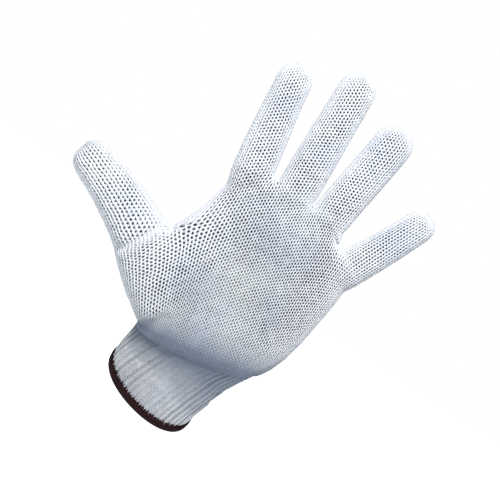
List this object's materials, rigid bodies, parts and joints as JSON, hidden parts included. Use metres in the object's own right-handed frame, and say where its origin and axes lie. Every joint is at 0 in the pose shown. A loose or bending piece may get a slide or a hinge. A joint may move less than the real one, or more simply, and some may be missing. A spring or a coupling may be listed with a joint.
{
  "type": "cotton work glove",
  "caption": "Seamless string-knit cotton work glove in worn form, hollow, with a ribbed cuff and an overlocked edge.",
  "frame": {"origin": "centre of the cuff's opening, where the wrist goes in", "axes": "+Z along the hand to the fingertips, +X to the little finger's side, the palm faces -Y"},
  "size_m": [0.2071, 0.0704, 0.2445],
  "materials": {
    "cotton_knit": "matte bleached string-knit cotton",
    "cotton_rib": "matte bleached ribbed cotton with elastic",
    "overlock_thread": "dark overlock thread, soft sheen"
  },
  "bodies": {
    "root": {"palm": "cotton_knit", "thumb": "cotton_knit", "index_finger": "cotton_knit", "middle_finger": "cotton_knit", "ring_finger": "cotton_knit", "little_finger": "cotton_knit", "rib_cuff": "cotton_rib", "edge_binding": "overlock_thread"}
  },
  "joints": []
}
